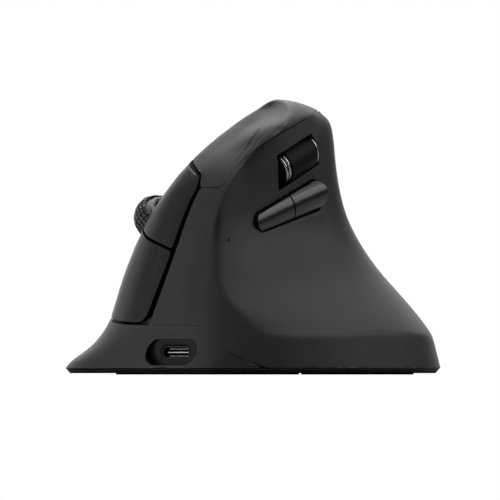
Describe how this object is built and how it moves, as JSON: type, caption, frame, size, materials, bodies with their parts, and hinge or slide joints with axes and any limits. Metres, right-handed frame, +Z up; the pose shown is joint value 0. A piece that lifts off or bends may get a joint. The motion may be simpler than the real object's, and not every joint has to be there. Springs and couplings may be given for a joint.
{
  "type": "vertical ergonomic mouse",
  "caption": "Right-handed vertical mouse with a handshake-grip shell, sprung main and side buttons, tilting scroll wheel, thumb roller and a charging socket.",
  "frame": {"origin": "centre of the outline on the desk plane, under the glide pads", "axes": "+Y to the front face with the charging socket, +X to the finger side, +Z up"},
  "size_m": [0.0777, 0.0984, 0.07],
  "materials": {
    "shell_black": "fine matt texture",
    "plate_black": "matt",
    "button_satin": "satin",
    "tyre_rubber": "matt",
    "bright_ring": "polished",
    "steel": "turned",
    "socket_metal": "satin",
    "frame_plastic": "moulded",
    "board_green": "solder resist",
    "switch_black": "moulded",
    "plunger_plastic": "moulded",
    "encoder_plastic": "moulded",
    "lens_clear": "clear moulded",
    "battery_foil": "foil wrap",
    "glide_pad": "slick"
  },
  "bodies": {
    "case": {"bottom_plate": "plate_black", "base_skirt": "shell_black", "side_shell": "shell_black", "top_cover": "shell_black", "hinge_rod": "steel", "finger_frame": "frame_plastic", "finger_board": "board_green", "left_switch": "switch_black", "right_switch": "switch_black", "wheel_encoder": "encoder_plastic", "middle_switch": "switch_black", "roller_bracket": "frame_plastic", "roller_encoder": "encoder_plastic", "side_board": "board_green", "forward_switch": "switch_black", "back_switch": "switch_black", "status_light": "lens_clear", "main_board": "board_green", "board_screws": "steel", "control_chip": "switch_black", "optical_sensor": "switch_black", "sensor_lens": "lens_clear", "battery": "battery_foil", "usb_shell": "socket_metal", "usb_tongue": "frame_plastic", "mode_switch": "socket_metal", "dpi_switch": "switch_black", "front_skate": "glide_pad", "rear_skate": "glide_pad", "sensor_skate": "glide_pad", "case_screws": "steel"},
    "left_key": {"left_button": "shell_black", "left_plunger": "plunger_plastic"},
    "right_key": {"right_button": "shell_black", "right_plunger": "plunger_plastic"},
    "wheel_carrier": {"wheel_cradle": "frame_plastic", "middle_stem": "plunger_plastic"},
    "wheel": {"scroll_tyre": "tyre_rubber", "scroll_hub": "button_satin", "scroll_axle": "steel", "encoder_rotor": "plunger_plastic"},
    "roller": {"thumb_roller": "button_satin", "roller_rings": "bright_ring", "roller_axle": "steel"},
    "forward_key": {"forward_button": "button_satin", "forward_stem": "plunger_plastic"},
    "back_key": {"back_button": "button_satin", "back_stem": "plunger_plastic"},
    "mode_knob": {"mode_slider": "plate_black"},
    "dpi_key": {"dpi_button": "plate_black", "dpi_stem": "plunger_plastic"}
  },
  "joints": [
    {"name": "left_click", "type": "hinge", "parent": "case", "child": "left_key", "pos_m": [0.01355, -0.00468, 0.0353], "axis": [-0.5878, 0, 0.809], "range_deg": [0, 1.2], "stiffness_Nm_per_rad": 1.2},
    {"name": "right_click", "type": "hinge", "parent": "case", "child": "right_key", "pos_m": [0.01355, -0.00468, 0.0353], "axis": [-0.5878, 0, 0.809], "range_deg": [0, 1.2], "stiffness_Nm_per_rad": 1.2},
    {"name": "wheel_press", "type": "hinge", "parent": "case", "child": "wheel_carrier", "pos_m": [0.01074, 0.01402, 0.04173], "axis": [0, 1, 0], "range_deg": [0, 2], "stiffness_Nm_per_rad": 0.8},
    {"name": "wheel_spin", "type": "hinge", "parent": "wheel_carrier", "child": "wheel", "pos_m": [0.01476, 0.01402, 0.03619], "axis": [-0.5878, 0, 0.809], "continuous": true},
    {"name": "roller_spin", "type": "hinge", "parent": "case", "child": "roller", "pos_m": [-0.0089, 0.0003, 0.0546], "axis": [0, -0.9272, 0.3746], "continuous": true},
    {"name": "forward_press", "type": "slide", "parent": "case", "child": "forward_key", "axis": [1, 0, 0], "range_m": [0, 0.0005], "stiffness_N_per_m": 1200},
    {"name": "back_press", "type": "slide", "parent": "case", "child": "back_key", "axis": [1, 0, 0], "range_m": [0, 0.0005], "stiffness_N_per_m": 1200},
    {"name": "mode_slide", "type": "slide", "parent": "case", "child": "mode_knob", "axis": [0, 1, 0], "range_m": [-0.002, 0.002]},
    {"name": "dpi_press", "type": "slide", "parent": "case", "child": "dpi_key", "axis": [0, 0, 1], "range_m": [0, 0.0004], "stiffness_N_per_m": 1500}
  ]
}
